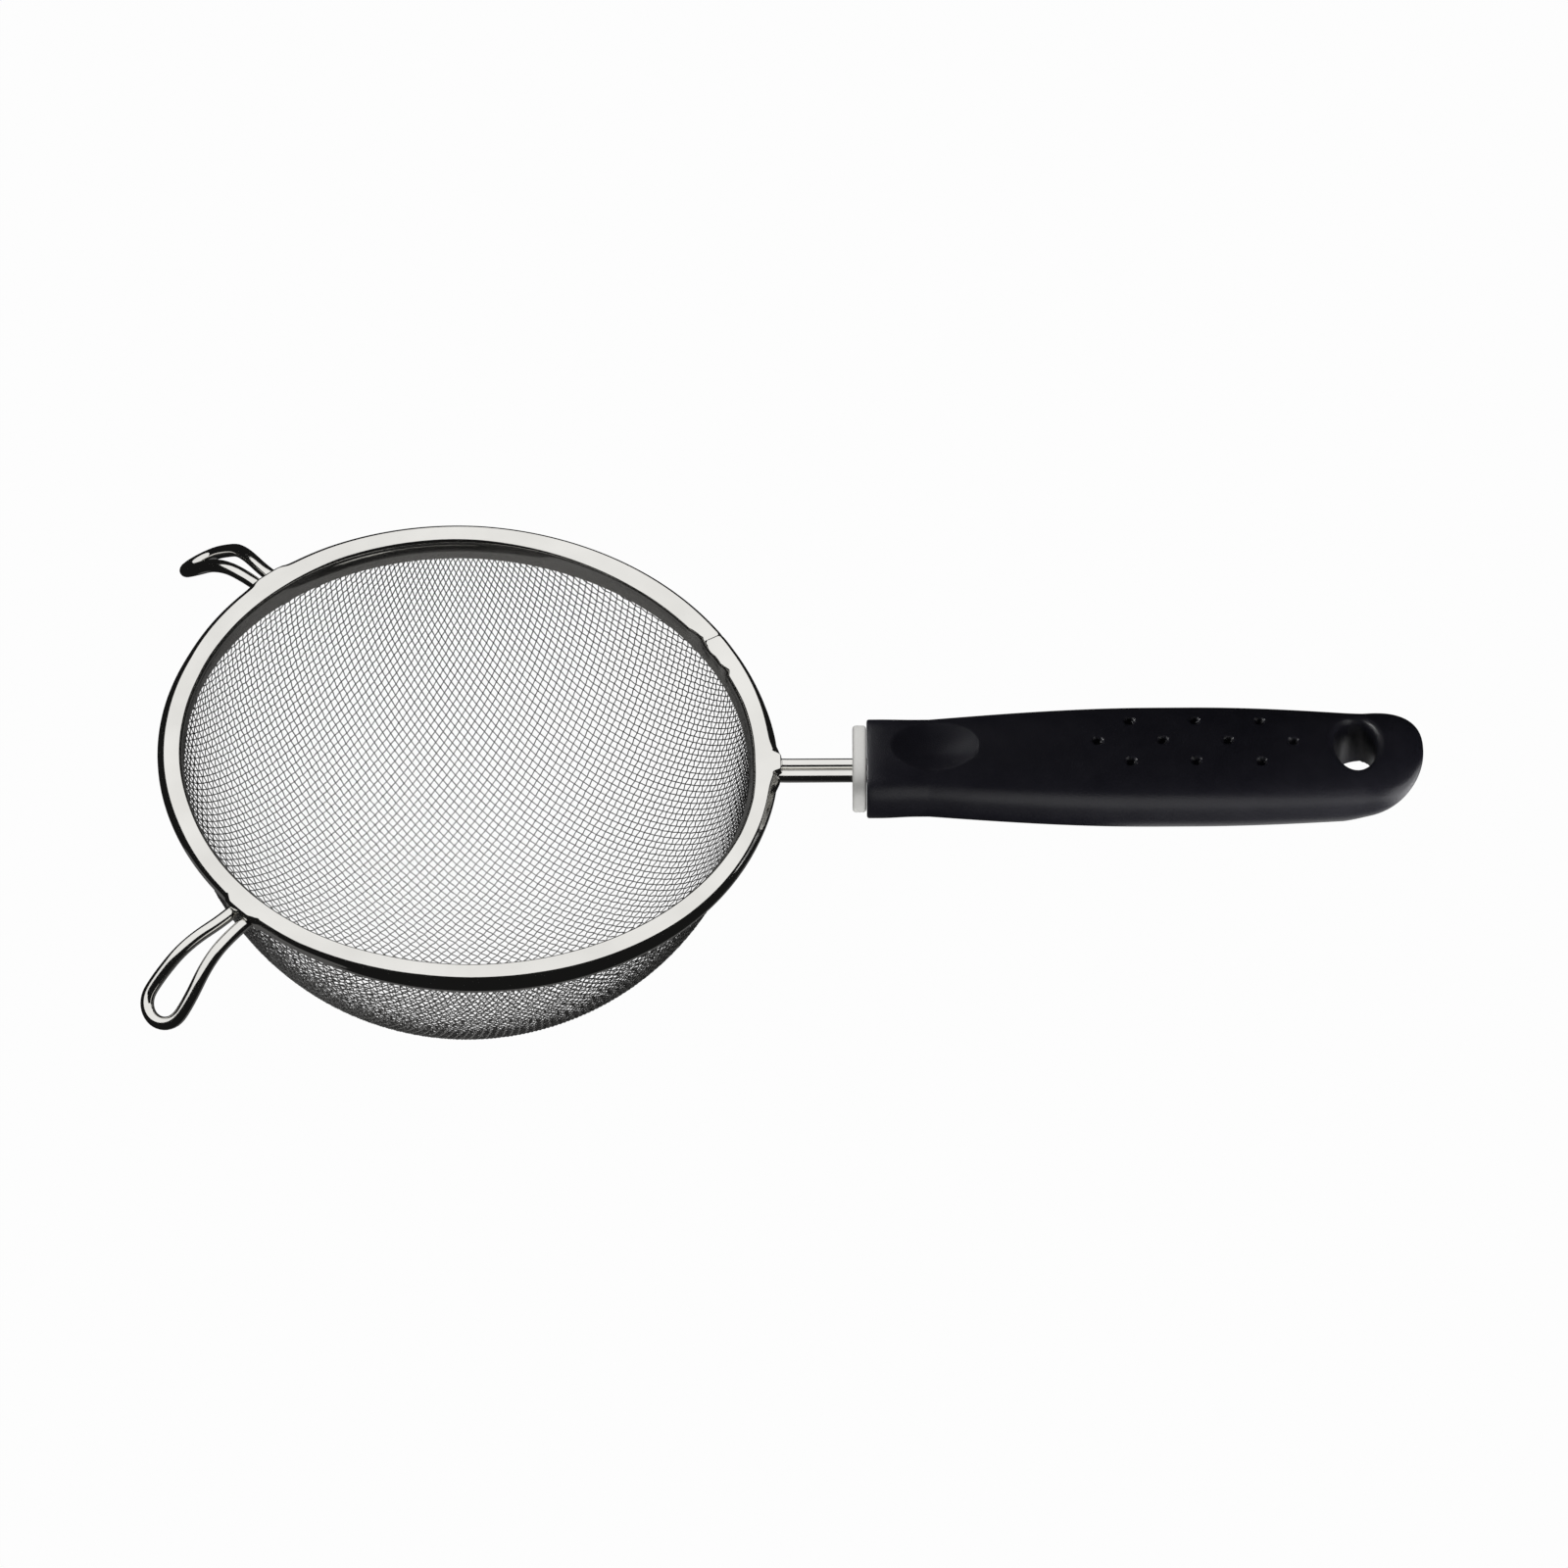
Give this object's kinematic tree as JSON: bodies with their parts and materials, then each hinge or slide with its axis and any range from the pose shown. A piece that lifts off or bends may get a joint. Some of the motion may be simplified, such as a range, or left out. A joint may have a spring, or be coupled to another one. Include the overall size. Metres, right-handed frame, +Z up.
{
  "type": "strainer",
  "caption": "Hand strainer: a round woven-wire bowl in a rolled steel rim with wire resting ears, a wire stem and a black moulded handle with a hanging hole.",
  "frame": {"origin": "middle of the small flat at the bottom of the bowl", "axes": "+X from the bowl towards the handle, +Z up out of the bowl's mouth, +Y across, towards the ear that is named far"},
  "size_m": [0.2838, 0.1456, 0.0821],
  "materials": {
    "wire_cloth": "bright drawn stainless wire, plain weave",
    "rim_sheet": "polished stainless sheet",
    "frame_wire": "polished stainless wire",
    "collar": "satin light grey",
    "grip": "fine matt moulded black"
  },
  "bodies": {
    "root": {"mesh_bowl": "wire_cloth", "rim_band": "rim_sheet", "frame_wire_front": "frame_wire", "frame_wire_near": "frame_wire", "frame_wire_far": "frame_wire", "ear_near": "frame_wire", "ear_far": "frame_wire", "collar": "collar", "handle_grip": "grip"}
  },
  "joints": []
}
